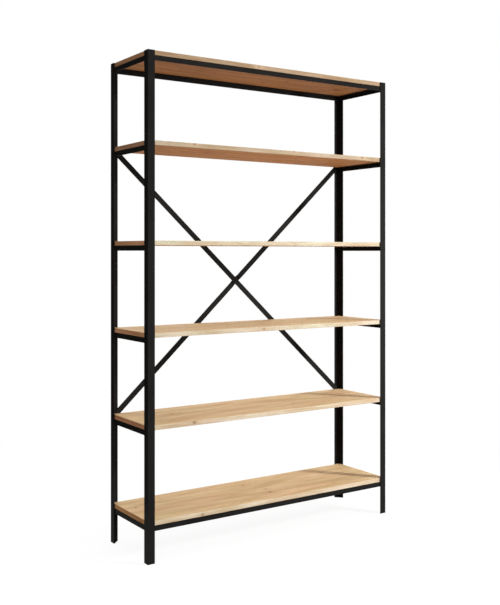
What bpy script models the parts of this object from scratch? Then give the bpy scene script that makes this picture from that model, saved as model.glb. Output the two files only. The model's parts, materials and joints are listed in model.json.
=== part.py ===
"""Open bookcase of angle iron and oak.

Four rolled angle posts stand on triangular foot plates. Each of the six boards lies on two short angle
rails welded between the posts; the top and bottom boards also lie on long rails at the front and the
rear, whose coped ends tuck under the short rails. Two flat bars cross behind the boards and brace the
frame.

Metres, +Z up. The front faces -Y and the origin is on the floor, under the middle of the bookcase.
"""

import math

import bmesh
import bpy
from mathutils import Euler, Matrix, Vector

for leftover in list(bpy.data.objects):
    bpy.data.objects.remove(leftover)

mm = 0.001

# Frame, measured over the outside of the posts
frame_width = 1200 * mm
frame_depth = 325 * mm
frame_height = 1940 * mm

# Heights: the lowest board's top face from the floor, and how the top faces above it share the rest, from
# the top bay down
lowest_board_top = 160 * mm
bay_shares = (34, 38, 35, 35, 36)

# Posts: hot-rolled equal angle, closed at the foot by a plate
post_leg = 30 * mm
post_wall = 3 * mm
post_root_radius = 2.5 * mm
post_toe_radius = 1.2 * mm
post_heel_radius = 0.5 * mm
foot_plate_thickness = 3 * mm

# Rails: a lighter equal angle, heel up
rail_leg = 20 * mm
rail_wall = 3 * mm
rail_root_radius = 2 * mm
rail_toe_radius = 1 * mm
rail_heel_radius = 0.4 * mm
cope_clearance = 1 * mm

# Boards
board_thickness = 18 * mm
board_edge_radius = 1.2 * mm
board_gap = 1 * mm

# Cross brace: flat bar, one of the two joggled behind the other where they meet
brace_width = 22.5 * mm
brace_thickness = 3 * mm
brace_drop_at_shelf_2 = 14 * mm
brace_drop_at_shelf_5 = 6 * mm
joggle_ramp = 10 * mm
joggle_margin = 3 * mm

# Button-head screws at the ends of the brace, and the rivet at its middle
brace_screw_radius = 3 * mm
brace_screw_head_radius = 5.25 * mm
brace_screw_head_height = 3 * mm
rivet_radius = 3 * mm
rivet_head_radius = 5.5 * mm
rivet_head_height = 2 * mm

# Weld studs on the posts, and the flange nuts that hold the long rails on them
stud_radius = 3 * mm
stud_past_nut = 1.5 * mm
nut_across_flats = 10 * mm
nut_height = 6 * mm
nut_chamfer = 0.6 * mm
nut_flange_radius = 6.5 * mm
nut_flange_thickness = 1.2 * mm

# Wood screws, up through the middle of each side rail into the boards
wood_screw_radius = 2.5 * mm
wood_screw_head_radius = 4.5 * mm
wood_screw_head_height = 2.8 * mm
wood_screw_point = 4 * mm
wood_screw_bite_share = 0.65

# Working gaps
seat_gap = 0.3 * mm
hole_clearance = 0.3 * mm
cut_overrun = 2 * mm
merge_distance = 0.01 * mm

# Facets and angles
arc_steps = 3
round_sides = 12
nut_sides = 24
smooth_angle = math.radians(40)
quarter_turn = math.pi / 2

# Worked out from the sizes above, with x and y counted from the middle of the frame
shelf_tops = [frame_height]
for bay_share in bay_shares:
    shelf_tops.append(shelf_tops[-1] - (frame_height - lowest_board_top) * bay_share / sum(bay_shares))
long_rail_levels = {"top": shelf_tops[0], "bottom": shelf_tops[-1]}
half_width = frame_width / 2
half_depth = frame_depth / 2
behind_posts = seat_gap + brace_screw_head_height
heel_x = half_width - post_wall - seat_gap
heel_y = half_depth - post_wall - seat_gap
brace_front_y = heel_y - brace_thickness
side_rail_end_y = brace_front_y - seat_gap
long_rail_end_x = heel_x - rail_wall - rail_root_radius
heel_drop = board_thickness + seat_gap
wood_screw_x = heel_x - (rail_wall + rail_leg) / 2
stud_x = half_width - (post_wall + seat_gap + rail_wall + post_leg) / 2
stud_drop = heel_drop + (rail_wall + cope_clearance + rail_leg) / 2


def arc(centre, radius, start, end, steps=arc_steps):
    """Points of an arc, both ends included; start and end count quarter turns."""
    angles = [quarter_turn * (start + (end - start) * step / steps) for step in range(steps + 1)]
    return [(centre[0] + radius * math.cos(a), centre[1] + radius * math.sin(a)) for a in angles]


def circle(radius, sides=round_sides, centre=(0, 0)):
    return arc(centre, radius, 0, 4, sides)[:-1]


def angle_section(leg, wall, root_radius, toe_radius, heel_radius):
    """Outline of a rolled equal angle: heel at the origin, legs along +X and +Y."""
    root_middle = wall + root_radius
    return (
        arc((heel_radius, heel_radius), heel_radius, 2, 3)
        + [(leg, 0)]
        + arc((leg - toe_radius, wall - toe_radius), toe_radius, 0, 1)
        + arc((root_middle, root_middle), root_radius, 3, 2)
        + arc((wall - toe_radius, leg - toe_radius), toe_radius, 0, 1)
        + [(0, leg)]
    )


def new_collection(name):
    collection = bpy.data.collections.new(name)
    bpy.context.scene.collection.children.link(collection)
    return collection


def new_material(name, colour, roughness, metallic):
    material = bpy.data.materials.new(name)
    material.use_nodes = True
    material.diffuse_color = (*colour, 1)
    shader = material.node_tree.nodes["Principled BSDF"]
    shader.inputs["Base Color"].default_value = (*colour, 1)
    shader.inputs["Roughness"].default_value = roughness
    shader.inputs["Metallic"].default_value = metallic
    return material


def working_object(data):
    obj = bpy.data.objects.new("working", data)
    bpy.context.scene.collection.objects.link(obj)
    return obj


def baked(obj):
    """The evaluated mesh of a working object, welded; the object itself is removed."""
    bpy.context.view_layer.update()
    mesh = bpy.data.meshes.new_from_object(obj.evaluated_get(bpy.context.evaluated_depsgraph_get()))
    bpy.data.objects.remove(obj)
    bm = bmesh.new()
    bm.from_mesh(mesh)
    bmesh.ops.remove_doubles(bm, verts=bm.verts, dist=merge_distance)
    bm.to_mesh(mesh)
    bm.free()
    return mesh


def prism(outlines, length):
    """A flat outline, with any holes as further outlines, extruded to a length centred on its plane."""
    curve = bpy.data.curves.new("outline", "CURVE")
    curve.dimensions = "2D"
    curve.fill_mode = "BOTH"
    curve.extrude = length / 2
    for outline in outlines:
        spline = curve.splines.new("POLY")
        spline.points.add(len(outline) - 1)
        for point, (x, y) in zip(spline.points, outline):
            point.co = (x, y, 0, 1)
        spline.use_cyclic_u = True
    return baked(working_object(curve))


def turned(profile, sides=round_sides):
    """A solid turned on Z from (radius, height) points: down its outer side, then back up any bore."""
    mesh = bpy.data.meshes.new("profile")
    edges = [(i, i + 1) for i in range(len(profile) - 1)]
    if profile[0][0] > 0:
        edges.append((len(profile) - 1, 0))
    mesh.from_pydata([(radius, 0, height) for radius, height in profile], edges, [])
    obj = working_object(mesh)
    screw = obj.modifiers.new("Turn", "SCREW")
    screw.steps = sides
    screw.render_steps = sides
    screw.use_merge_vertices = True
    screw.merge_threshold = merge_distance
    return baked(obj)


def box(low, high):
    """A box between two corners."""
    mesh = bpy.data.meshes.new("box")
    bm = bmesh.new()
    bmesh.ops.create_cube(bm, size=1)
    middle = (Vector(low) + Vector(high)) / 2
    span = Vector(high) - Vector(low)
    placement = Matrix.Translation(middle) @ Matrix.Diagonal((*span, 1))
    bmesh.ops.transform(bm, matrix=placement, verts=bm.verts)
    bm.to_mesh(mesh)
    bm.free()
    return mesh


def cylinder(radius, length):
    """A cylinder on Z, with the origin at its middle."""
    mesh = bpy.data.meshes.new("cylinder")
    bm = bmesh.new()
    bmesh.ops.create_cone(
        bm, cap_ends=True, segments=round_sides, radius1=radius, radius2=radius, depth=length
    )
    bm.to_mesh(mesh)
    bm.free()
    return mesh


def gathered(solids):
    """One mesh of several (mesh, location, rotation) copies, to cut or join with."""
    bm = bmesh.new()
    for mesh, location, rotation in solids:
        known = len(bm.verts)
        bm.from_mesh(mesh)
        bm.verts.ensure_lookup_table()
        placement = Matrix.Translation(location) @ Euler(rotation).to_matrix().to_4x4()
        bmesh.ops.transform(bm, matrix=placement, verts=bm.verts[known:])
    mesh = bpy.data.meshes.new("gathered")
    bm.to_mesh(mesh)
    bm.free()
    return mesh


def add_part(name, mesh, material, location, rotation=(0, 0, 0), smooth=False):
    """A piece of the bookcase, placed from the frame's middle."""
    if not mesh.materials:
        mesh.name = name
        mesh.materials.append(material)
        if smooth:
            mesh.shade_smooth()
            mesh.set_sharp_from_angle(angle=smooth_angle)
    obj = bpy.data.objects.new(name, mesh)
    obj.location = location
    obj.rotation_euler = rotation
    obj.parent = frame_middle
    parts.objects.link(obj)
    return obj


def add_cutter(name, mesh, location=(0, 0, 0), rotation=(0, 0, 0)):
    obj = bpy.data.objects.new(name, mesh)
    obj.location = location
    obj.rotation_euler = rotation
    obj.parent = frame_middle
    obj.hide_render = True
    obj.display_type = "WIRE"
    cutters.objects.link(obj)
    return obj


def combine(obj, operation, other):
    boolean = obj.modifiers.new(other.name, "BOOLEAN")
    boolean.operation = operation
    boolean.solver = "EXACT"
    boolean.object = other


def build_posts():
    """Four posts, each on the plate that closes its foot, with two weld studs for the long rails."""
    post_foot = foot_plate_thickness + seat_gap
    length = frame_height - post_foot
    section = angle_section(post_leg, post_wall, post_root_radius, post_toe_radius, post_heel_radius)
    post_mesh = prism([section], length)
    foot = [(0, 0), (post_leg, 0), (post_leg, post_wall), (post_wall, post_leg), (0, post_leg)]
    foot_mesh = prism([foot], foot_plate_thickness)

    # A stud is rooted in the post's wall and reaches through the rail and the nut
    rooted = post_wall / 2
    stud_length = rooted + seat_gap + rail_wall + seat_gap + nut_height + stud_past_nut
    tip = stud_radius / 4
    stud = turned(
        [
            (0, stud_length),
            (stud_radius - tip, stud_length),
            (stud_radius, stud_length - tip),
            (stud_radius, 0),
            (0, 0),
        ]
    )
    corners = [
        ("front_left", -1, -1, 0),
        ("front_right", 1, -1, quarter_turn),
        ("rear_right", 1, 1, 2 * quarter_turn),
        ("rear_left", -1, 1, 3 * quarter_turn),
    ]
    posts = {}
    for corner, side_x, side_y, turn in corners:
        x = side_x * half_width
        y = side_y * half_depth
        place = (x, y, post_foot + length / 2)
        post = add_part(f"post_{corner}", post_mesh, steel, place, (0, 0, turn), smooth=True)
        add_part(f"foot_plate_{corner}", foot_mesh, steel, (x, y, foot_plate_thickness / 2), (0, 0, turn))
        root_y = side_y * (half_depth - post_wall + rooted)
        studs = [
            (stud, (side_x * stud_x, root_y, top - stud_drop), (side_y * quarter_turn, 0, 0))
            for top in long_rail_levels.values()
        ]
        combine(post, "UNION", add_cutter(f"studs_{corner}", gathered(studs)))
        posts[corner] = post
    return posts


def build_side_rails(section):
    """Two short rails under each board, welded between the posts and drilled for a wood screw."""
    mesh = prism([section], 2 * side_rail_end_y)
    drill = cylinder(wood_screw_radius + hole_clearance, rail_wall + 2 * cut_overrun)
    heels = [top - heel_drop for top in shelf_tops]
    holes = [
        (drill, (side * wood_screw_x, 0, z - rail_wall / 2), (0, 0, 0)) for side in (-1, 1) for z in heels
    ]
    screw_holes = add_cutter("rail_screw_holes", gathered(holes))
    for number, z in enumerate(heels, 1):
        for side, x, turn in (("left", -heel_x, 0), ("right", heel_x, 2 * quarter_turn)):
            name = f"side_rail_{side}_{number}"
            rail = add_part(name, mesh, steel, (x, 0, z), (-quarter_turn, 0, turn), smooth=True)
            combine(rail, "DIFFERENCE", screw_holes)


def build_long_rails(section):
    """Rails under the front and rear of two boards, coped to clear the side rails and hung on studs."""
    mesh = prism([section], 2 * long_rail_end_x)
    drill = cylinder(stud_radius + hole_clearance, rail_wall + 2 * cut_overrun)
    cope_start = heel_x - rail_leg - cope_clearance
    cope_end = long_rail_end_x + cut_overrun
    cope = box(
        (-(cope_end - cope_start) / 2, -heel_y - cut_overrun, -rail_wall - cope_clearance),
        ((cope_end - cope_start) / 2, heel_y + cut_overrun, cut_overrun),
    )
    cope_x = (cope_start + cope_end) / 2
    for level, top in long_rail_levels.items():
        heel_z = top - heel_drop
        copes = [(cope, (side * cope_x, 0, heel_z), (0, 0, 0)) for side in (-1, 1)]
        hole_y = heel_y - rail_wall / 2
        holes = [
            (drill, (side_x * stud_x, side_y * hole_y, top - stud_drop), (quarter_turn, 0, 0))
            for side_x in (-1, 1)
            for side_y in (-1, 1)
        ]
        cope_cutter = add_cutter(f"copes_{level}", gathered(copes))
        hole_cutter = add_cutter(f"stud_holes_{level}", gathered(holes))
        for face, side in (("front", -1), ("rear", 1)):
            turn = (-quarter_turn, 0, -side * quarter_turn)
            place = (0, side * heel_y, heel_z)
            rail = add_part(f"rail_{face}_{level}", mesh, steel, place, turn, smooth=True)
            combine(rail, "DIFFERENCE", cope_cutter)
            combine(rail, "DIFFERENCE", hole_cutter)


def build_nuts():
    """Flange nuts: a turned blank with a chamfer, and six flats milled down to the flange."""
    bore = stud_radius + hole_clearance
    corner = nut_across_flats / 2 / math.cos(quarter_turn / 3)
    blank_radius = corner - nut_chamfer / 2
    blank = turned(
        [
            (bore, nut_height),
            (blank_radius - nut_chamfer, nut_height),
            (blank_radius, nut_height - nut_chamfer),
            (blank_radius, nut_flange_thickness),
            (nut_flange_radius, nut_flange_thickness),
            (nut_flange_radius, 0),
            (bore, 0),
        ],
        nut_sides,
    )
    mill = prism([circle(nut_flange_radius + cut_overrun, nut_sides), circle(corner, 6)], nut_height)
    mill_height = nut_flange_thickness + nut_height / 2
    nut_obj = working_object(blank)
    mill_obj = working_object(gathered([(mill, (0, 0, mill_height), (0, 0, 0))]))
    combine(nut_obj, "DIFFERENCE", mill_obj)
    nut_mesh = baked(nut_obj)
    bpy.data.objects.remove(mill_obj)
    seat_y = heel_y - rail_wall - seat_gap
    for level, top in long_rail_levels.items():
        for face, side_y in (("front", -1), ("rear", 1)):
            for side, side_x in (("left", -1), ("right", 1)):
                place = (side_x * stud_x, side_y * seat_y, top - stud_drop)
                name = f"rail_nut_{face}_{side}_{level}"
                add_part(name, nut_mesh, zinc, place, (side_y * quarter_turn, 0, 0), smooth=True)


def build_boards():
    """Six boards with eased edges and a pilot hole above each side rail."""
    end_x = half_width - post_wall - board_gap
    front_y = -half_depth + post_wall + board_gap
    rear_y = brace_front_y - board_gap
    mesh = box((-end_x, front_y, -board_thickness), (end_x, rear_y, 0))
    pilot_depth = board_thickness * wood_screw_bite_share + hole_clearance
    pilot = cylinder(wood_screw_radius + hole_clearance, pilot_depth + cut_overrun)
    pilot_rise = (pilot_depth - cut_overrun) / 2 - board_thickness
    pilots = [
        (pilot, (side * wood_screw_x, 0, top + pilot_rise), (0, 0, 0))
        for side in (-1, 1)
        for top in shelf_tops
    ]
    pilot_holes = add_cutter("pilot_holes", gathered(pilots))
    for number, top in enumerate(shelf_tops, 1):
        board = add_part(f"shelf_{number}", mesh, oak, (0, 0, top))
        ease = board.modifiers.new("Eased edges", "BEVEL")
        ease.width = board_edge_radius
        ease.segments = 2
        combine(board, "DIFFERENCE", pilot_holes)


def build_wood_screws():
    """Pan-head wood screws, head under the rail's flange and point in the board."""
    through = seat_gap + rail_wall + seat_gap
    tip = through + board_thickness * wood_screw_bite_share
    mesh = turned(
        [
            (0, tip),
            (wood_screw_radius, tip - wood_screw_point),
            (wood_screw_radius, 0),
            (wood_screw_head_radius, 0),
            (wood_screw_head_radius, -wood_screw_head_height / 3),
            (wood_screw_head_radius * 2 / 3, -wood_screw_head_height),
            (0, -wood_screw_head_height),
        ]
    )
    for side, side_x in (("left", -1), ("right", 1)):
        for number, top in enumerate(shelf_tops, 1):
            place = (side_x * wood_screw_x, 0, top - board_thickness - through)
            add_part(f"wood_screw_{side}_{number}", mesh, zinc, place, smooth=True)


def build_brace(posts):
    """The rear cross: a straight bar, a bar joggled behind it, their screws and their rivet."""
    end_x = half_width - post_wall - post_root_radius - brace_width / 2
    upper_z = shelf_tops[1] - brace_drop_at_shelf_2
    lower_z = shelf_tops[4] - brace_drop_at_shelf_5
    middle = (0, heel_y - brace_thickness / 2, (upper_z + lower_z) / 2)
    slope = math.atan2(upper_z - lower_z, 2 * end_x)
    half_span = math.hypot(2 * end_x, upper_z - lower_z) / 2
    half_bar = brace_width / 2

    # Seen flat: round ends about the screw holes, and a rivet hole in the middle
    screw_hole = brace_screw_radius + hole_clearance
    right_end = arc((half_span, 0), half_bar, -1, 1, round_sides)
    left_end = arc((-half_span, 0), half_bar, 1, 3, round_sides)
    flat_view = [
        right_end + left_end,
        circle(screw_hole, centre=(half_span, 0)),
        circle(screw_hole, centre=(-half_span, 0)),
        circle(rivet_radius + hole_clearance),
    ]
    falling = (quarter_turn, slope, 0)
    rising = (quarter_turn, -slope, 0)
    add_part("brace_straight", prism(flat_view, brace_thickness), steel, middle, falling)

    # Seen edge on: two parallel faces that step back together, clear of the straight bar
    crossing = 2 * slope
    half_flat = half_bar * (1 + abs(math.cos(crossing))) / math.sin(crossing) + joggle_margin
    step = brace_thickness + seat_gap
    beyond = half_span + half_bar + cut_overrun
    path = [
        (-beyond, 0),
        (-half_flat - joggle_ramp, 0),
        (-half_flat, -step),
        (half_flat, -step),
        (half_flat + joggle_ramp, 0),
        (beyond, 0),
    ]
    rear_face = [(x, y - brace_thickness / 2) for x, y in path]
    front_face = [(x, y + brace_thickness / 2) for x, y in path]
    folded = prism([rear_face + front_face[::-1]], brace_width + 2 * cut_overrun)
    folded.transform(Matrix.Rotation(quarter_turn, 4, "X"))
    bar = add_part("brace_joggled", folded, steel, middle, rising)
    trim_depth = 2 * (step + brace_thickness)
    combine(bar, "INTERSECT", add_cutter("brace_flat_view", prism(flat_view, trim_depth), middle, rising))

    # Screws come from behind, through the post's leg and into the end of the bar
    ends = {
        "upper_left": (-end_x, upper_z),
        "upper_right": (end_x, upper_z),
        "lower_left": (-end_x, lower_z),
        "lower_right": (end_x, lower_z),
    }
    drill = cylinder(screw_hole, post_wall + 2 * cut_overrun)
    holes = [(drill, (x, half_depth - post_wall / 2, z), (quarter_turn, 0, 0)) for x, z in ends.values()]
    post_holes = add_cutter("brace_screw_holes", gathered(holes))
    for corner in ("rear_left", "rear_right"):
        combine(posts[corner], "DIFFERENCE", post_holes)
    head_y = half_depth + seat_gap
    shank = head_y - brace_front_y
    screw_mesh = turned(
        [
            (0, brace_screw_head_height),
            (brace_screw_head_radius * 2 / 3, brace_screw_head_height * 5 / 6),
            (brace_screw_head_radius, brace_screw_head_height / 4),
            (brace_screw_head_radius, 0),
            (brace_screw_radius, 0),
            (brace_screw_radius, -shank),
            (0, -shank),
        ]
    )
    for corner, (x, z) in ends.items():
        place = (x, head_y, z)
        add_part(f"brace_screw_{corner}", screw_mesh, zinc, place, (-quarter_turn, 0, 0), smooth=True)

    # The rivet closes both bars together, with a domed head on each face
    grip = brace_thickness + step + 2 * seat_gap
    shoulder = rivet_head_radius * 4 / 5
    rivet = turned(
        [
            (0, grip + rivet_head_height),
            (shoulder, grip + rivet_head_height * 2 / 3),
            (rivet_head_radius, grip),
            (rivet_radius, grip),
            (rivet_radius, 0),
            (rivet_head_radius, 0),
            (shoulder, -rivet_head_height * 2 / 3),
            (0, -rivet_head_height),
        ]
    )
    seat = (0, brace_front_y - seat_gap, middle[2])
    add_part("brace_rivet", rivet, steel, seat, (-quarter_turn, 0, 0), smooth=True)


parts = new_collection("bookcase")
cutters = new_collection("cutters")

# Everything hangs on this empty, set forward so that the screw heads behind the posts count in the depth
frame_middle = bpy.data.objects.new("frame_middle", None)
frame_middle.location = (0, -behind_posts / 2, 0)
parts.objects.link(frame_middle)

steel = new_material("black_powder_coat", (0.012, 0.012, 0.013), 0.45, 0)
oak = new_material("oiled_oak", (0.56, 0.36, 0.18), 0.5, 0)
zinc = new_material("black_zinc", (0.02, 0.02, 0.022), 0.4, 1)

rail_section = angle_section(rail_leg, rail_wall, rail_root_radius, rail_toe_radius, rail_heel_radius)
build_brace(build_posts())
build_side_rails(rail_section)
build_long_rails(rail_section)
build_nuts()
build_boards()
build_wood_screws()
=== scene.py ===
import json
import math

import bmesh
import bpy
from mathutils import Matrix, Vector


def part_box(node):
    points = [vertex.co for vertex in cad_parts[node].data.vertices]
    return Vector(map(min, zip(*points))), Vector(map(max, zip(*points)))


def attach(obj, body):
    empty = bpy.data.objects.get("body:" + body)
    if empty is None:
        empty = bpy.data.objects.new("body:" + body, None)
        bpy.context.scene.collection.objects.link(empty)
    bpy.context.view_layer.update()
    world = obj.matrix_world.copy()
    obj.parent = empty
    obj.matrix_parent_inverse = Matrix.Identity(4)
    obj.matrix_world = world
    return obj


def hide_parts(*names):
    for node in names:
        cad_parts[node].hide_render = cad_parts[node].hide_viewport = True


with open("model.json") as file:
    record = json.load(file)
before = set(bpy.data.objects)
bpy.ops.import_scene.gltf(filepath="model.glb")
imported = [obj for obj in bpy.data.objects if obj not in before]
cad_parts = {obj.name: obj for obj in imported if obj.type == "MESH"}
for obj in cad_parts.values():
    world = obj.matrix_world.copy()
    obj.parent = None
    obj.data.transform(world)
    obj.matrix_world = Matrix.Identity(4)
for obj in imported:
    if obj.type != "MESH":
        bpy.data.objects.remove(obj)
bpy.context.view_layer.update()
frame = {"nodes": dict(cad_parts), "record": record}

mm = 0.001
quarter = math.pi / 2

# A face looks up or down when the Z of its normal is over this
upright = 0.9


# Selecting and placing

def alone(piece):
    """Makes a piece the only selected and active object."""
    bpy.ops.object.select_all(action="DESELECT")
    piece.select_set(True)
    bpy.context.view_layer.objects.active = piece


def begin(name, add_primitive, **settings):
    """A new piece from a primitive at its size and place, its transform applied."""
    bpy.ops.object.select_all(action="DESELECT")
    add_primitive(**settings)
    piece = bpy.context.active_object
    piece.name = name
    piece.data.name = name
    bpy.ops.object.transform_apply(location=True, rotation=True, scale=True)
    return piece


def edit(piece):
    """Goes into edit mode, to work on faces."""
    alone(piece)
    bpy.ops.object.mode_set(mode="EDIT")
    bpy.ops.mesh.select_mode(type="FACE")


def choose(piece, kind, test):
    """In edit mode, selects only the verts, edges or faces that pass a test."""
    bpy.ops.mesh.select_all(action="DESELECT")
    mesh = bmesh.from_edit_mesh(piece.data)
    for part in getattr(mesh, kind):
        if test(part):
            part.select_set(True)
    bmesh.update_edit_mesh(piece.data)


def done(piece):
    """Leaves edit mode."""
    bpy.ops.object.mode_set(mode="OBJECT")
    alone(piece)


def apply_modifier(piece, name, kind, **settings):
    """Adds a modifier and applies it at once."""
    alone(piece)
    modifier = piece.modifiers.new(name, kind)
    for key, value in settings.items():
        setattr(modifier, key, value)
    bpy.ops.object.modifier_apply(modifier=modifier.name)


def cut(piece, tool):
    """Cuts a tool's shape out of a piece. The tool is used up."""
    apply_modifier(piece, "Cut", "BOOLEAN", object=tool, operation="DIFFERENCE", solver="EXACT")
    bpy.data.objects.remove(tool)


def copy_to(piece, name, place, turn=(0, 0, 0)):
    """A copy with its own mesh, turned and put in its place, with its transform applied."""
    copy = piece.copy()
    copy.data = piece.data.copy()
    copy.name = name
    copy.data.name = name
    bpy.context.scene.collection.objects.link(copy)
    copy.location = place
    copy.rotation_euler = turn
    alone(copy)
    bpy.ops.object.transform_apply(location=True, rotation=True, scale=True)
    return copy


def joined(name, pieces):
    """Several pieces as one."""
    alone(pieces[0])
    for piece in pieces:
        piece.select_set(True)
    bpy.ops.object.join()
    pieces[0].name = name
    pieces[0].data.name = name
    return pieces[0]


def smooth(piece, degrees=40):
    """Shades a piece smooth, apart from its edges that are sharper than an angle."""
    alone(piece)
    bpy.ops.object.shade_smooth_by_angle(angle=math.radians(degrees))


def fit(piece, slot, materials, *nodes):
    """Gives a finished piece its materials and body, and hides the nodes that it stands for. Its slot
    is not used.
    """
    for material in materials:
        piece.data.materials.append(material)
    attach(piece, "root")
    if nodes:
        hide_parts(*nodes)


def middle_of(node):
    """The middle of a node's box."""
    low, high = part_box(node)
    return (low + high) / 2


# Materials

def hue(code):
    """A colour written as sRGB hex, in linear light."""
    levels = [int(code[i:i + 2], 16) / 255 for i in (1, 3, 5)]
    return (*[v / 12.92 if v <= 0.04045 else ((v + 0.055) / 1.055) ** 2.4 for v in levels], 1)


def grey(level):
    """A grey, in linear light."""
    return (level, level, level, 1)


def add(tree, kind, feeds=None, stops=None, **settings):
    """Adds a node: feeds gives sockets a value or the output that feeds them, stops fills a ramp.

    Sockets go by name or by number. In a Map Range, 1 and 2 are the range that comes in, 3 and 4
    the range that goes out. In a Mix of colours, 0 is the share, 6 and 7 are the colours, and
    output 2 is the result.
    """
    made = tree.nodes.new(kind)
    for key, value in settings.items():
        setattr(made, key, value)
    for key, value in (feeds or {}).items():
        if isinstance(value, bpy.types.NodeSocket):
            tree.links.new(value, made.inputs[key])
        else:
            made.inputs[key].default_value = value
    if stops:
        ramp = made.color_ramp.elements
        while len(ramp) < len(stops):
            ramp.new(1)
        for element, (position, colour) in zip(ramp, stops):
            element.position = position
            element.color = colour
    return made


def blank(name):
    """A material with no nodes yet, and its node tree."""
    material = bpy.data.materials.new(name)
    material.use_nodes = True
    material.node_tree.nodes.clear()
    return material, material.node_tree


# The sheet of veneer, in mm. Each board is cut from its own stretch of it, and lies with its middle
# 600 along that. Each of its sides comes from its own row across the grain
board_pitch = 2000
board_middle = 600
rows = {"top": 0, "left": 300, "right": 300, "front": 500, "rear": 700, "under": 1000}

# The knots on each side of each board, the top board being 1, in mm: how far along the board, how
# far across and half its length. Across is from the middle of a top or an underside, and from the
# upper line of an edge
knots = {
    ("top", 1): ((560, 60, 9), (980, -50, 8)),
    ("top", 2): ((380, 40, 9), (900, -70, 8)),
    ("top", 3): ((420, -40, 9), (930, 85, 8)),
    ("top", 4): ((300, 70, 9), (1040, 20, 7)),
    ("top", 5): ((203, 18, 13), (760, -60, 6), (890, 92, 9)),
    ("top", 6): (
        (50, 34, 10), (590, 78, 8), (626, -73, 13), (638, -24, 7), (944, -112, 7), (1010, 60, 8),
    ),
    ("under", 1): ((250, 40, 9), (687, 64, 14), (760, -10, 17), (1066, 20, 22), (1084, -28, 10)),
    ("under", 2): ((330, -50, 11), (880, 60, 9)),
    ("under", 3): ((540, 30, 11),),
    ("under", 4): ((790, -40, 12),),
    ("under", 5): ((420, 50, 11),),
    ("under", 6): ((760, 20, 12),),
    ("front", 1): ((510, -8, 7),),
    ("front", 2): ((206, -2, 9), (689, -2, 7), (1066, -5, 9)),
    ("front", 4): ((535, -9, 7),),
    ("front", 5): ((205, -6, 11),),
    ("front", 6): ((242, -11, 8),),
    ("rear", 2): ((1000, -8, 7),),
}


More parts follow.
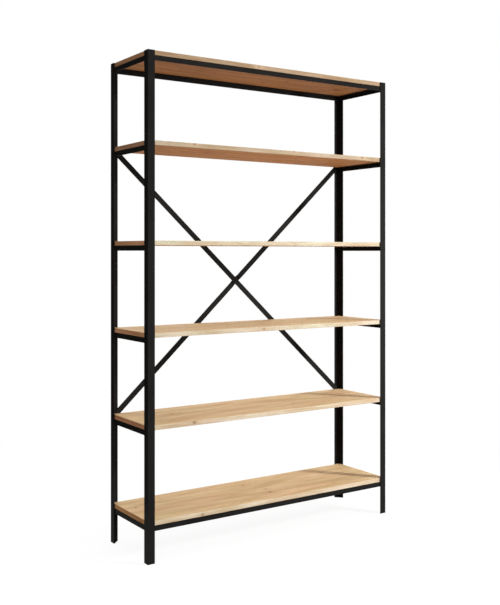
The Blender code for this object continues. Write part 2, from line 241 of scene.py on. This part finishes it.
def oak_veneer(name, pale, brown, pore, knot_tone, board_tones):
    """Knotty oak veneer, sanded and oiled: soft figure along the grain, fine pores, brown knots."""
    material, tree = blank(name)
    sheet = add(tree, "ShaderNodeUVMap", uv_map="grain")
    place = add(
        tree, "ShaderNodeMapping", {"Vector": sheet.outputs[0], "Scale": (1 / mm, 1 / mm, 1 / mm)}
    )

    # Soft noise, by how many mm its features measure along the grain and across it
    noise = {}
    for use, along, across, shift, detail, rough in (
        ("rings", 800, 60, 0.0, 2.0, 0.4), ("streaks", 170, 8, 3.7, 3.0, 0.6),
        ("bands", 280, 36, 8.3, 2.5, 0.5), ("smudges", 90, 9, 5.1, 2.0, 0.5),
        ("drift", 300, 70, 1.9, 1.0, 0.5), ("pores", 14, 0.9, 2.3, 2.0, 0.5),
    ):
        stretch = add(
            tree, "ShaderNodeMapping",
            {"Vector": place.outputs[0], "Location": (shift, shift, 0),
             "Scale": (1 / along, 1 / across, 1)},
        )
        noise[use] = add(
            tree, "ShaderNodeTexNoise",
            {"Vector": stretch.outputs[0], "Scale": 1.0, "Detail": detail, "Roughness": rough},
            noise_dimensions="2D",
        ).outputs[0]

    # Knots, a little flat across the grain: a dark eye, a brown halo drawn out along the grain, and
    # the grain that swings round it. Each fades out between two distances, in half lengths
    flat, drawn_out = 0.8, 0.45
    marks = {"eye": 0.0, "halo": 0.0, "swing": 0.0}
    for (side, number), spots in knots.items():
        for along, across, half in spots:
            centre = ((number - 1) * board_pitch + along, rows[side] + across, 0)
            spot = add(
                tree, "ShaderNodeMapping",
                {"Vector": place.outputs[0], "Location": centre, "Scale": (half, half * flat, 1)},
                vector_type="TEXTURE",
            )
            long_spot = add(
                tree, "ShaderNodeVectorMath", {0: spot.outputs[0], 1: (drawn_out, 1, 1)},
                operation="MULTIPLY",
            )
            off = add(tree, "ShaderNodeVectorMath", {0: spot.outputs[0]}, operation="LENGTH")
            far = add(tree, "ShaderNodeVectorMath", {0: long_spot.outputs[0]}, operation="LENGTH")
            for mark, distance, full, none, gather in (
                ("eye", off, 0.1, 1.25, "MAXIMUM"), ("halo", far, 0.4, 2.6, "MAXIMUM"),
                ("swing", far, 0.0, 4.0, "ADD"),
            ):
                inside = add(
                    tree, "ShaderNodeMapRange",
                    {0: distance.outputs["Value"], 1: full, 2: none, 3: 1.0, 4: 0.0},
                    interpolation_type="SMOOTHSTEP",
                )
                marks[mark] = add(
                    tree, "ShaderNodeMath", {0: inside.outputs[0], 1: marks[mark]}, operation=gather
                ).outputs[0]

    # Growth rings: contour lines of a slow field, 800 mm long by 60 mm wide, so some 8 mm apart. A
    # knot raises the field round it, so that the lines swing aside
    swing_share, contours = 0.2, 18.0
    field = add(
        tree, "ShaderNodeMath", {0: marks["swing"], 1: swing_share, 2: noise["rings"]},
        operation="MULTIPLY_ADD",
    )
    turns = add(tree, "ShaderNodeMath", {0: field.outputs[0], 1: contours}, operation="MULTIPLY")
    phase = add(tree, "ShaderNodeMath", {0: turns.outputs[0]}, operation="FRACT")
    ring = add(
        tree, "ShaderNodeValToRGB", {0: phase.outputs[0]},
        [(0, grey(0.2)), (0.5, grey(0.45)), (0.85, grey(0.85)), (1, grey(0.2))],
    )

    # Figure: bands 36 mm wide, streaks 8 mm wide and the rings, from pale to brown
    band_share, streak_share, ring_share = 0.9, 0.55, 0.22
    palest, brownest = 0.62, 1.12
    banded = add(tree, "ShaderNodeMath", {0: noise["bands"], 1: band_share}, operation="MULTIPLY")
    streaked = add(
        tree, "ShaderNodeMath", {0: noise["streaks"], 1: streak_share, 2: banded.outputs[0]},
        operation="MULTIPLY_ADD",
    )
    ringed = add(
        tree, "ShaderNodeMath", {0: ring.outputs[0], 1: ring_share, 2: streaked.outputs[0]},
        operation="MULTIPLY_ADD",
    )
    figure = add(
        tree, "ShaderNodeMapRange", {0: ringed.outputs[0], 1: palest, 2: brownest, 3: 0.0, 4: 1.0}
    )
    figured = add(
        tree, "ShaderNodeMix", {0: figure.outputs[0], 6: pale, 7: brown}, data_type="RGBA"
    )

    # Heartwood smudges, few and soft, and a drift from pink to olive over 300 mm
    smudge_share = 0.45
    smudge = add(
        tree, "ShaderNodeMapRange",
        {0: noise["smudges"], 1: 0.6, 2: 0.82, 3: 0.0, 4: smudge_share},
        interpolation_type="SMOOTHSTEP",
    )
    smudged = add(
        tree, "ShaderNodeMix", {0: smudge.outputs[0], 6: figured.outputs[2], 7: brown},
        data_type="RGBA",
    )
    drift = add(
        tree, "ShaderNodeValToRGB", {0: noise["drift"]},
        [(0.3, hue("#FEF7EF")), (0.7, hue("#F9FAEC"))],
    )
    drifted = add(
        tree, "ShaderNodeMix", {0: 1.0, 6: smudged.outputs[2], 7: drift.outputs[0]},
        data_type="RGBA", blend_type="MULTIPLY",
    )

    # Each board's stretch of the sheet gets its own tone, set apart for each side; the top two boards
    # are darker
    sheet_length = board_pitch * len(board_tones)
    along_sheet = add(tree, "ShaderNodeSeparateXYZ", {0: place.outputs[0]})
    board = add(
        tree, "ShaderNodeMath", {0: along_sheet.outputs[0], 1: 1 / sheet_length},
        operation="MULTIPLY",
    )
    tone = add(
        tree, "ShaderNodeValToRGB", {0: board.outputs[0]},
        [(number / len(board_tones), hue(code)) for number, code in enumerate(board_tones)],
    )
    tone.color_ramp.interpolation = "CONSTANT"
    toned = add(
        tree, "ShaderNodeMix", {0: 1.0, 6: drifted.outputs[2], 7: tone.outputs[0]},
        data_type="RGBA", blend_type="MULTIPLY",
    )

    # Pores: dashes 14 mm by 0.9 mm, three times the real ones, so that they show. They, the halos
    # and the eyes each stain the wood by at most a share
    pores = add(
        tree, "ShaderNodeMapRange", {0: noise["pores"], 1: 0.56, 2: 0.72, 3: 0.0, 4: 1.0},
        interpolation_type="SMOOTHSTEP",
    )
    wood = toned.outputs[2]
    for mark, most, stain in (
        (pores.outputs[0], 0.4, pore), (marks["halo"], 0.6, brown), (marks["eye"], 0.65, knot_tone),
    ):
        share = add(tree, "ShaderNodeMath", {0: mark, 1: most}, operation="MULTIPLY")
        wood = add(
            tree, "ShaderNodeMix", {0: share.outputs[0], 6: wood, 7: stain}, data_type="RGBA"
        ).outputs[2]

    # Oiled and sanded: dull between the pores, duller in them, and the pores slightly sunk. The IOR
    # isn't the oil's own: it is set low, to the faint sheen of the boards in the photograph
    dull, duller = 0.6, 0.75
    rough = add(
        tree, "ShaderNodeMapRange", {0: pores.outputs[0], 1: 0.0, 2: 1.0, 3: dull, 4: duller}
    )
    sunk = add(
        tree, "ShaderNodeBump",
        {"Height": pores.outputs[0], "Strength": 0.12, "Distance": 0.08 * mm}, invert=True,
    )
    shader = add(
        tree, "ShaderNodeBsdfPrincipled",
        {"Base Color": wood, "Roughness": rough.outputs[0], "Normal": sunk.outputs[0], "IOR": 1.18},
    )
    add(tree, "ShaderNodeOutputMaterial", {"Surface": shader.outputs[0]})
    return material


def powder_coat(name):
    """Matt black polyester powder coat on steel: nearly no colour, dull sheen, faint orange peel."""
    material, tree = blank(name)
    place = add(tree, "ShaderNodeTexCoord").outputs["Object"]

    # The peel's dimples are 1.5 mm across, and the sheen drifts over 120 mm. The IOR isn't the
    # polyester's own: it is set low, to the faint sheen of the frame in the photograph
    peel = add(tree, "ShaderNodeTexNoise", {"Vector": place, "Scale": 1 / (1.5 * mm), "Detail": 1.0})
    drift = add(tree, "ShaderNodeTexNoise", {"Vector": place, "Scale": 1 / (120 * mm), "Detail": 3.0})
    tone = add(
        tree, "ShaderNodeValToRGB", {0: drift.outputs[0]},
        [(0.3, hue("#1D1C1B")), (0.7, hue("#222120"))],
    )
    rough = add(
        tree, "ShaderNodeMapRange", {0: drift.outputs[0], 1: 0.3, 2: 0.7, 3: 0.32, 4: 0.4}
    )
    dimples = add(
        tree, "ShaderNodeBump",
        {"Height": peel.outputs[0], "Strength": 0.3, "Distance": 0.06 * mm},
    )
    shader = add(
        tree, "ShaderNodeBsdfPrincipled",
        {"Base Color": tone.outputs[0], "Roughness": rough.outputs[0],
         "Normal": dimples.outputs[0], "IOR": 1.067},
    )
    add(tree, "ShaderNodeOutputMaterial", {"Surface": shader.outputs[0]})
    return material


def black_zinc(name):
    """Steel, zinc plated and passivated black: a dark metal with a cloudy, slightly oily sheen."""
    material, tree = blank(name)
    place = add(tree, "ShaderNodeTexCoord").outputs["Object"]

    # The clouds of the passivation are 3 mm across
    cloud = add(tree, "ShaderNodeTexNoise", {"Vector": place, "Scale": 1 / (3 * mm), "Detail": 3.0})
    tone = add(
        tree, "ShaderNodeValToRGB", {0: cloud.outputs[0]},
        [(0.3, hue("#24262A")), (0.7, hue("#35363A"))],
    )
    rough = add(
        tree, "ShaderNodeMapRange", {0: cloud.outputs[0], 1: 0.3, 2: 0.7, 3: 0.3, 4: 0.44}
    )
    shader = add(
        tree, "ShaderNodeBsdfPrincipled",
        {"Base Color": tone.outputs[0], "Roughness": rough.outputs[0], "Metallic": 1.0},
    )
    add(tree, "ShaderNodeOutputMaterial", {"Surface": shader.outputs[0]})
    return material


# Each oak has its pale, brown, pore and knot colours, and then the tone of each board, top first
oak_top = oak_veneer(
    "oak_veneer_top", hue("#E1C8A3"), hue("#C5A27A"), hue("#98704A"), hue("#6E4525"),
    ("#D0C4B8", "#E0D8D0", "#F8F8F8", "#F8F6F4", "#FFFFFF", "#FFFFFF"),
)
# Painted shade: the underside's oak is a deeper, warmer copy of the top's, standing in for the shade
# under each board
painted_shade_under_oak = oak_veneer(
    "oak_veneer_under_painted_shade", hue("#E4A66E"), hue("#C48450"), hue("#925B32"), hue("#623B1E"),
    ("#E4E4E8", "#FFFFFF", "#FFFFFF", "#FFFFFF", "#FFFFFF", "#FFFFFF"),
)
# Painted sheen: the front edge's oak is a paler, greyer copy of the top's, standing in for the lamps'
# sheen on the front edges
painted_sheen_front_oak = oak_veneer(
    "oak_veneer_front_painted_sheen", hue("#DED3C4"), hue("#C1A78A"), hue("#967554"), hue("#744D2C"),
    ("#C2B4A8", "#D8D4D0", "#F8FFFF", "#F8FCFC", "#FCFCFC", "#FFFFFF"),
)
# Painted shade: the left end's oak is a warmer, deeper copy of the top's, standing in for the shade
# on the left ends. The right ends take the top's oak
painted_shade_left_end_oak = oak_veneer(
    "oak_veneer_left_end_painted_shade", hue("#E7AF89"), hue("#C38C63"), hue("#8F603B"), hue("#674125"),
    ("#D0D0CC", "#DCE4F0", "#FFFFFF", "#FFFFFF", "#F8F4F8", "#F0F0DC"),
)
steel = powder_coat("black_powder_coat_steel")
zinc = black_zinc("black_zinc_fastener")


# Boards, numbered from the top

board_numbers = range(1, 7)
edging_width = 2 * mm
seam = 0.15 * mm
edge_round = 1.2 * mm
pilot_radius = 2.8 * mm
pilot_depth = 12 * mm

# A board's oaks, and the sides that take its second, third and fourth. The others take its first. The
# second, third and fourth are copies of the first with painted shade on the underside and the left
# end, and painted sheen on the front edge
board_oaks = (oak_top, painted_shade_under_oak, painted_sheen_front_oak, painted_shade_left_end_oak)
oak_numbers = {"under": 1, "front": 2, "left": 3}

# On the short edges the streaks are shorter, and left and right come from two parts of the sheet
end_squeeze = 1.7
end_apart = 250 * mm


def side_of(normal):
    """Which side of a board a face is on."""
    strongest = max(abs(normal.x), abs(normal.y), abs(normal.z))
    if strongest == abs(normal.z):
        return "top" if normal.z > 0 else "under"
    if strongest == abs(normal.y):
        return "front" if normal.y < 0 else "rear"
    return "left" if normal.x < 0 else "right"


def lay_veneer(board, number):
    """Lays the veneer along X, and along Y on the short edges, and gives each side its oak."""
    mesh = board.data
    sheet = mesh.uv_layers[0]
    sheet.name = "grain"
    start = ((number - 1) * board_pitch + board_middle) * mm
    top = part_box(f"shelf_{number}")[1].z
    for face in mesh.polygons:
        side = side_of(face.normal)
        # The underside, front edge and left end take the oaks with painted shade and painted sheen
        face.material_index = oak_numbers.get(side, 0)
        for corner in face.loop_indices:
            x, y, z = mesh.vertices[mesh.loops[corner].vertex_index].co
            if side in ("top", "under"):
                along, across = x, y
            elif side in ("front", "rear"):
                along, across = x, z - top
            else:
                along, across = y * end_squeeze + face.normal.x * end_apart, z - top
            sheet.data[corner].uv = (start + along, rows[side] * mm + across)


def make_boards():
    """Six veneered boards, each with a band of edging all round and a fine seam beside it."""
    low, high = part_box("shelf_1")
    size = high - low
    middle = (low + high) / 2
    near = seam / 4
    first = begin("board", bpy.ops.mesh.primitive_cube_add, size=1, location=middle, scale=size)

    # Three lines close together inside the edging, the middle one pressed in as deep as they are
    # apart, make the seam
    edit(first)
    choose(first, "faces", lambda f: abs(f.normal.z) > upright)
    for width in (edging_width, seam, seam):
        bpy.ops.mesh.inset(thickness=width, use_individual=True)
    seam_x = size.x / 2 - edging_width - seam
    seam_y = size.y / 2 - edging_width - seam

    def on_seam(v):
        off = v.co - middle
        return abs(abs(off.x) - seam_x) < near and abs(abs(off.y) - seam_y) < near

    for side in (1, -1):
        choose(first, "verts", lambda v, s=side: on_seam(v) and (v.co.z - middle.z) * s > 0)
        bpy.ops.transform.translate(value=(0, 0, -side * seam))

    def at_corner(v):
        off = v.co - middle
        return all(abs(abs(off[axis]) - size[axis] / 2) < near for axis in range(3))

    # The board's twelve edges run from corner to corner
    bpy.ops.mesh.select_mode(type="EDGE")
    choose(first, "edges", lambda e: all(at_corner(v) for v in e.verts))
    bpy.ops.mesh.bevel(offset=edge_round, segments=4, profile=0.5)
    done(first)

    # A pilot hole for the screw at each end, cut from below
    for node in ("wood_screw_left_1", "wood_screw_right_1"):
        screw = middle_of(node)
        drill = begin(
            "drill", bpy.ops.mesh.primitive_cylinder_add, vertices=16, radius=pilot_radius,
            depth=2 * pilot_depth, location=(screw.x, screw.y, low.z),
        )
        cut(first, drill)
    smooth(first)
    apply_modifier(first, "Flat faces", "WEIGHTED_NORMAL", keep_sharp=True)
    for number in board_numbers:
        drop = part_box(f"shelf_{number}")[1].z - high.z
        board = copy_to(first, f"board_{number}", (0, 0, drop))
        lay_veneer(board, number)
        fit(board, "oiled_oak", board_oaks, f"shelf_{number}")
    bpy.data.objects.remove(first)


# Frame

def dress_frame():
    """Gives the nodes their finish. The posts, plates, rails, bars and nuts keep their shapes."""
    finishes = {"black_powder_coat": steel, "black_zinc": zinc, "oiled_oak": oak_top}
    for row in frame["record"]["subparts"]:
        node = frame["nodes"][row["node"]]
        node.data.materials.clear()
        node.data.materials.append(finishes[row["material_slot"]])


def draw_out(*rings):
    """In edit mode, extrudes an end face on Z by each ring's rise, and scales it by its share."""
    for rise, share in rings:
        bpy.ops.mesh.extrude_region_move(TRANSFORM_OT_translate={"value": (0, 0, rise)})
        bpy.ops.transform.resize(value=(share, share, 1), center_override=(0, 0, 0))


def weld_bead(length):
    """A bead of weld along X: ripples on a rounded ridge 4 mm wide, with a round end each way."""
    ripple = 1.8 * mm
    end_radius = 1.1 * mm
    swell = 1.2
    ripple_rings = [(ripple * 0.4, swell), (ripple * 0.6, 1 / swell)]
    ripple_count = round(length / ripple) - 1
    piece = begin(
        "bead", bpy.ops.mesh.primitive_circle_add, vertices=10, radius=end_radius, fill_type="NGON"
    )
    edit(piece)
    bpy.ops.mesh.select_all(action="SELECT")
    draw_out((ripple * 0.3, 1.5), *(ripple_rings * ripple_count), (ripple * 0.3, 0.6))
    bpy.ops.mesh.select_all(action="SELECT")
    bpy.ops.mesh.normals_make_consistent(inside=False)
    done(piece)
    smooth(piece, 60)
    laid = copy_to(piece, "laid_bead", (-length / 2, 0, 0), (0, quarter, 0))
    bpy.data.objects.remove(piece)
    return laid


def make_welds():
    """Beads that hold the side rails and the foot plates on the posts, one piece for each post."""
    long_bead = weld_bead(20 * mm)
    short_bead = weld_bead(16 * mm)
    wall = 3 * mm
    from_corner = 13 * mm
    along_y = (0, 0, quarter)
    along_z = (0, quarter, 0)
    for face, toward in (("front", -1), ("rear", 1)):
        for side, outward in (("left", -1), ("right", 1)):
            post_low, post_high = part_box(f"post_{face}_{side}")
            leg_edge = post_high.y if toward < 0 else post_low.y

            # Under each side rail, and up its side where the post's leg ends
            beads = []
            for number in board_numbers:
                rail = f"side_rail_{side}_{number}"
                rail_low, rail_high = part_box(rail)
                rail_x = rail_low.x if outward < 0 else rail_high.x
                rail_end = rail_low.y if toward < 0 else rail_high.y
                under = (rail_x, (rail_end + leg_edge) / 2, rail_low.z)
                beside = (rail_x, leg_edge, middle_of(rail).z)
                beads.append(copy_to(long_bead, "under", under, along_y))
                beads.append(copy_to(short_bead, "beside", beside, along_z))

            # On the foot plate, along the inside of both legs
            plate_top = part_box(f"foot_plate_{face}_{side}")[1].z
            corner_x = (post_low.x if outward < 0 else post_high.x) - outward * wall
            corner_y = (post_low.y if toward < 0 else post_high.y) - toward * wall
            by_face_leg = (corner_x - outward * from_corner, corner_y, plate_top)
            by_side_leg = (corner_x, corner_y - toward * from_corner, plate_top)
            beads.append(copy_to(short_bead, "foot", by_face_leg))
            beads.append(copy_to(short_bead, "foot", by_side_leg, along_y))
            fit(joined(f"welds_{face}_{side}", beads), "black_powder_coat", [steel])
    bpy.data.objects.remove(long_bead)
    bpy.data.objects.remove(short_bead)


# Fasteners, made upright on Z and then laid where the plain ones are

# How far the heads of the plain ones stand out
button_head = 3 * mm
pan_head = 2.8 * mm
rivet_head = 2 * mm


def choose_end(piece, side):
    """In edit mode, selects the flat end that looks up (1) or down (-1), the furthest one."""
    limit = max(v.co.z * side for v in bmesh.from_edit_mesh(piece.data).verts)
    near = 0.01 * mm
    choose(
        piece, "faces",
        lambda f: f.normal.z * side > upright
        and abs(f.calc_center_median().z * side - limit) < near,
    )


def button_screw():
    """M6 button-head screw, its head up from 0 and a hexagon socket in it."""
    radius = 5.25 * mm
    rim = 0.7 * mm
    shank_radius = 3 * mm
    shank = 9.3 * mm
    socket_radius = 2.31 * mm
    socket_floor = 1.2 * mm
    piece = begin(
        "button", bpy.ops.mesh.primitive_cylinder_add, vertices=32, radius=radius, depth=rim,
        location=(0, 0, rim / 2),
    )
    edit(piece)
    choose_end(piece, 1)
    draw_out((0.8 * mm, 0.93), (0.7 * mm, 0.86), (0.5 * mm, 0.82), (0.3 * mm, 0.8))
    choose_end(piece, -1)
    bpy.ops.mesh.inset(thickness=radius - shank_radius)
    draw_out((-shank, 1))
    done(piece)
    depth = 4 * mm
    socket = begin(
        "socket", bpy.ops.mesh.primitive_cylinder_add, vertices=6, radius=socket_radius,
        depth=depth, location=(0, 0, socket_floor + depth / 2),
    )
    cut(piece, socket)
    smooth(piece)
    return piece


def wood_screw():
    """Pan-head wood screw, its head down from 0, with a cross recess, and its point up."""
    radius = 4.5 * mm
    rim = 1.0 * mm
    shank_radius = 2.4 * mm
    shank = 11 * mm
    point = 4 * mm
    recess_floor = 1.4 * mm
    recess_length = 4.4 * mm
    recess_width = 0.95 * mm
    piece = begin(
        "pan", bpy.ops.mesh.primitive_cylinder_add, vertices=28, radius=radius, depth=rim,
        location=(0, 0, -rim / 2),
    )
    edit(piece)
    choose_end(piece, -1)
    draw_out((-0.8 * mm, 0.93), (-0.6 * mm, 0.84), (-0.4 * mm, 0.6))
    choose_end(piece, 1)
    bpy.ops.mesh.inset(thickness=radius - shank_radius)
    draw_out((shank, 1), (point, 0.05))
    done(piece)
    depth = 2.4 * mm
    for turn in (0, quarter):
        blade = begin(
            "blade", bpy.ops.mesh.primitive_cube_add, size=1,
            location=(0, 0, -recess_floor - depth / 2), rotation=(0, 0, turn),
            scale=(recess_length, recess_width, depth),
        )
        cut(piece, blade)
    smooth(piece)
    return piece


def rivet():
    """A rivet with a domed head at each end, its grip from 0 up."""
    radius = 3 * mm
    grip = 6.9 * mm
    head_radius = 5.5 * mm
    piece = begin(
        "rivet", bpy.ops.mesh.primitive_cylinder_add, vertices=32, radius=radius, depth=grip,
        location=(0, 0, grip / 2),
    )
    edit(piece)
    for side in (1, -1):
        choose_end(piece, side)
        draw_out(
            (0, head_radius / radius), (side * 0.5 * mm, 0.99), (side * 0.6 * mm, 0.88),
            (side * 0.5 * mm, 0.75), (side * 0.3 * mm, 0.5),
        )
    done(piece)
    smooth(piece)
    return piece


def make_fasteners():
    """Detailed screws and the rivet, each where its plain node is, the wood screws at all angles."""
    button = button_screw()
    for end in ("upper_left", "upper_right", "lower_left", "lower_right"):
        node = f"brace_screw_{end}"
        centre = middle_of(node)
        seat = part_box(node)[1].y - button_head
        place = (centre.x, seat, centre.z)
        screw = copy_to(button, f"button_screw_{end}", place, (-quarter, 0, 0))
        fit(screw, "black_zinc", [zinc], node)
    pan = wood_screw()
    for side in ("left", "right"):
        for number in board_numbers:
            node = f"wood_screw_{side}_{number}"
            centre = middle_of(node)
            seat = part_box(node)[0].z + pan_head
            place = (centre.x, centre.y, seat)
            radians_turned = number
            screw = copy_to(pan, f"pan_screw_{side}_{number}", place, (0, 0, radians_turned))
            fit(screw, "black_zinc", [zinc], node)
    plain = rivet()
    centre = middle_of("brace_rivet")
    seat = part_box("brace_rivet")[0].y + rivet_head
    domed = copy_to(plain, "domed_rivet", (centre.x, seat, centre.z), (-quarter, 0, 0))
    fit(domed, "black_powder_coat", [steel], "brace_rivet")
    for spare in (button, pan, plain):
        bpy.data.objects.remove(spare)


dress_frame()
make_boards()
make_welds()
make_fasteners()


# Camera: level, with its window shifted down, as the upright edges in the photograph are parallel

sight = bpy.data.cameras.new("camera")
sight.sensor_width = 36
sight.lens = 52.636
sight.shift_y = -0.08377
camera = bpy.data.objects.new("camera", sight)
camera.location = (-2.1387, -3.1343, 1.1774)
camera.rotation_euler = (quarter, 0, math.radians(-33.976))
bpy.context.scene.collection.objects.link(camera)
bpy.context.scene.camera = camera


# Lamps

lamp_aim = Vector((0, 0, 0.9))


def lamp(name, place, size, watts, shows_in_gloss=True):
    """A softbox that faces the bookcase. A polarised one lights it but leaves no highlight."""
    box = bpy.data.lights.new(name, "AREA")
    box.shape = "RECTANGLE"
    box.size, box.size_y = size
    box.energy = watts
    holder = bpy.data.objects.new(name, box)
    holder.location = place
    holder.rotation_euler = (lamp_aim - Vector(place)).to_track_quat("-Z", "Y").to_euler()
    holder.visible_glossy = shows_in_gloss
    bpy.context.scene.collection.objects.link(holder)


# The two keys stand at the front right, where the photograph's shadows on the boards come from
lamp("key_high", (3.36, -3.84, 3.13), (0.6, 0.6), 250, shows_in_gloss=False)
lamp("key_low", (3.36, -3.84, 0.96), (0.6, 1.36), 115)
lamp("rear_fill", (0.6, 2.4, 3.6), (2.4, 1.6), 48)
lamp("overhead", (0, -0.3, 4.2), (3.0, 2.0), 60)


# Floor, card and world

def seen(tree):
    """1 for what the camera sees, also in gloss or through glass, and 0 for light that bounces."""
    path = add(tree, "ShaderNodeLightPath")
    share = path.outputs["Is Camera Ray"]
    for ray in ("Is Glossy Ray", "Is Transmission Ray"):
        share = add(
            tree, "ShaderNodeMath", {0: share, 1: path.outputs[ray]}, operation="MAXIMUM"
        ).outputs[0]
    return share


def make_floor():
    """A plain pale floor. The camera sees it glow, nearly white where lit, and white further out."""
    material, tree = blank("pale_floor")
    bounce = add(tree, "ShaderNodeBsdfDiffuse", {"Color": hue("#96918C")})
    shaded = add(tree, "ShaderNodeBsdfDiffuse", {"Color": grey(0.1)})
    glow = add(tree, "ShaderNodeEmission", {"Color": grey(1), "Strength": 0.92})
    near = add(tree, "ShaderNodeAddShader", {0: shaded.outputs[0], 1: glow.outputs[0]})
    white = add(tree, "ShaderNodeEmission", {"Color": grey(1), "Strength": 1.0})

    # The glow turns to white between these distances from the bookcase's middle, in metres
    all_glow, all_white = 0.9, 2.2
    place = add(tree, "ShaderNodeTexCoord")
    off = add(tree, "ShaderNodeVectorMath", {0: place.outputs["Object"]}, operation="LENGTH")
    out = add(
        tree, "ShaderNodeMapRange",
        {0: off.outputs["Value"], 1: all_glow, 2: all_white, 3: 0.0, 4: 1.0},
        interpolation_type="SMOOTHSTEP",
    )
    shown = add(
        tree, "ShaderNodeMixShader", {0: out.outputs[0], 1: near.outputs[0], 2: white.outputs[0]}
    )
    mixed = add(
        tree, "ShaderNodeMixShader", {0: seen(tree), 1: bounce.outputs[0], 2: shown.outputs[0]}
    )
    add(tree, "ShaderNodeOutputMaterial", {"Surface": mixed.outputs[0]})
    floor = begin("floor", bpy.ops.mesh.primitive_plane_add, size=30, location=(0, 0, 0))
    floor.data.materials.append(material)


def make_black_card():
    """A black card beside the left side, as studios use. Only highlights show it, and are darker."""
    material, tree = blank("black_card")
    felt = add(tree, "ShaderNodeBsdfDiffuse", {"Color": grey(0.005)})
    add(tree, "ShaderNodeOutputMaterial", {"Surface": felt.outputs[0]})
    card = begin(
        "black_card", bpy.ops.mesh.primitive_plane_add, size=2.5, location=(-0.9, 1.0, 1.26),
        rotation=(0, quarter, 0),
    )
    card.data.materials.append(material)
    card.visible_camera = False
    card.visible_diffuse = False
    card.visible_transmission = False
    card.visible_shadow = False


def make_world():
    """Soft light from all round, and plain white wherever it is seen."""
    world = bpy.data.worlds.new("studio")
    world.use_nodes = True
    tree = world.node_tree
    tree.nodes.clear()
    ambient = add(tree, "ShaderNodeBackground", {"Color": grey(1), "Strength": 0.42})
    white = add(tree, "ShaderNodeBackground", {"Color": grey(1), "Strength": 1.0})
    mixed = add(
        tree, "ShaderNodeMixShader", {0: seen(tree), 1: ambient.outputs[0], 2: white.outputs[0]}
    )
    add(tree, "ShaderNodeOutputWorld", {"Surface": mixed.outputs[0]})
    bpy.context.scene.world = world


make_floor()
make_black_card()
make_world()
bpy.context.scene.view_settings.view_transform = "Standard"
